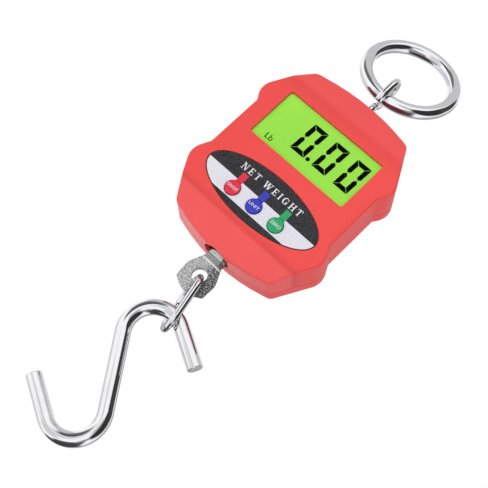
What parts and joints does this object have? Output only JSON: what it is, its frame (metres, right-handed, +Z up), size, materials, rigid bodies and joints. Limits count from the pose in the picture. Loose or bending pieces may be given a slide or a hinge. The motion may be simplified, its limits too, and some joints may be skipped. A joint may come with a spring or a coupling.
{
  "type": "digital fish scale",
  "caption": "Hand-held digital hanging scale: cased load cell and display, top ring to hold it by, swivelling eye, link and S-hook below.",
  "frame": {"origin": "on the flat back face of the case, on its centre line, just below the battery door", "axes": "+Z up along the load line towards the ring, display facing -Y, +X to the right of the display"},
  "size_m": [0.0774, 0.0336, 0.2559],
  "materials": {
    "case_plastic": "satin moulded red plastic",
    "display_lens": "clear acrylic window",
    "lcd_green": "lit green display",
    "backlight": "frosted light guide",
    "strip_rubber": "conductive rubber strip",
    "board_green": "solder-masked board",
    "dark_plastic": "moulded black plastic",
    "label_print": "printed film",
    "button_red": "soft satin",
    "button_blue": "soft satin",
    "button_green": "soft satin",
    "zinc_steel": "zinc plated",
    "aluminium": "milled",
    "gauge_film": "film gauge",
    "chrome": "polished chrome plate",
    "forged_steel": "tumbled forged steel",
    "battery_wrap": "plain printed wrap",
    "brass": "plated contact",
    "lead_red": "wire insulation",
    "lead_black": "wire insulation",
    "cable_grey": "wire insulation"
  },
  "bodies": {
    "case": {"front_shell": "case_plastic", "back_shell": "case_plastic", "case_screw_1": "zinc_steel", "case_screw_2": "zinc_steel", "case_screw_3": "zinc_steel", "case_screw_4": "zinc_steel", "display_lens": "display_lens", "lcd_panel": "lcd_green", "lcd_backlight": "backlight", "contact_strip_upper": "strip_rubber", "contact_strip_lower": "strip_rubber", "circuit_board": "board_green", "display_driver_chip": "dark_plastic", "amplifier_chip": "dark_plastic", "label_overlay": "label_print", "power_switch": "zinc_steel", "unit_switch": "zinc_steel", "zero_switch": "zinc_steel", "load_cell": "aluminium", "strain_gauge_1": "gauge_film", "strain_gauge_2": "gauge_film", "eye_washer": "zinc_steel", "eye_nut": "zinc_steel", "swivel_washer": "zinc_steel", "top_eye": "chrome", "battery_left": "battery_wrap", "battery_right": "battery_wrap", "contact_plus_left": "brass", "contact_plus_right": "brass", "contact_minus_left": "brass", "contact_minus_right": "brass", "contact_spring_left": "zinc_steel", "contact_spring_right": "zinc_steel", "battery_lead_red": "lead_red", "battery_lead_black": "lead_black", "gauge_cable": "cable_grey"},
    "door": {"battery_door": "case_plastic"},
    "power_key": {"power_button": "button_red", "power_plunger": "dark_plastic"},
    "unit_key": {"unit_button": "button_blue", "unit_plunger": "dark_plastic"},
    "zero_key": {"zero_button": "button_green", "zero_plunger": "dark_plastic"},
    "holding_ring": {"ring": "chrome"},
    "swivel": {"swivel_eye": "forged_steel", "swivel_nut": "zinc_steel"},
    "chain_link": {"link": "chrome"},
    "hook": {"s_hook": "chrome"}
  },
  "joints": [
    {"name": "ring_swing", "type": "hinge", "parent": "case", "child": "holding_ring", "pos_m": [0, -0.011, 0.0945], "axis": [1, 0, 0], "range_deg": [-100, 140]},
    {"name": "swivel_turn", "type": "hinge", "parent": "case", "child": "swivel", "pos_m": [0, -0.011, 0.018], "axis": [-0.0366, 0, 0.9993], "continuous": true},
    {"name": "link_swing", "type": "hinge", "parent": "swivel", "child": "chain_link", "pos_m": [0.00209, -0.011, -0.02607], "axis": [0, 1, 0], "range_deg": [-50, 70]},
    {"name": "hook_swing", "type": "hinge", "parent": "chain_link", "child": "hook", "pos_m": [0.00629, -0.011, -0.04532], "axis": [1, 0, 0], "range_deg": [-75, 75]},
    {"name": "door_swing", "type": "hinge", "parent": "case", "child": "door", "pos_m": [0, 0, 0.0093], "axis": [-1, 0, 0], "range_deg": [0, 100]},
    {"name": "power_press", "type": "slide", "parent": "case", "child": "power_key", "axis": [0, 1, 0], "range_m": [0, 0.0005], "stiffness_N_per_m": 800},
    {"name": "unit_press", "type": "slide", "parent": "case", "child": "unit_key", "axis": [0, 1, 0], "range_m": [0, 0.0005], "stiffness_N_per_m": 800},
    {"name": "zero_press", "type": "slide", "parent": "case", "child": "zero_key", "axis": [0, 1, 0], "range_m": [0, 0.0005], "stiffness_N_per_m": 800}
  ]
}
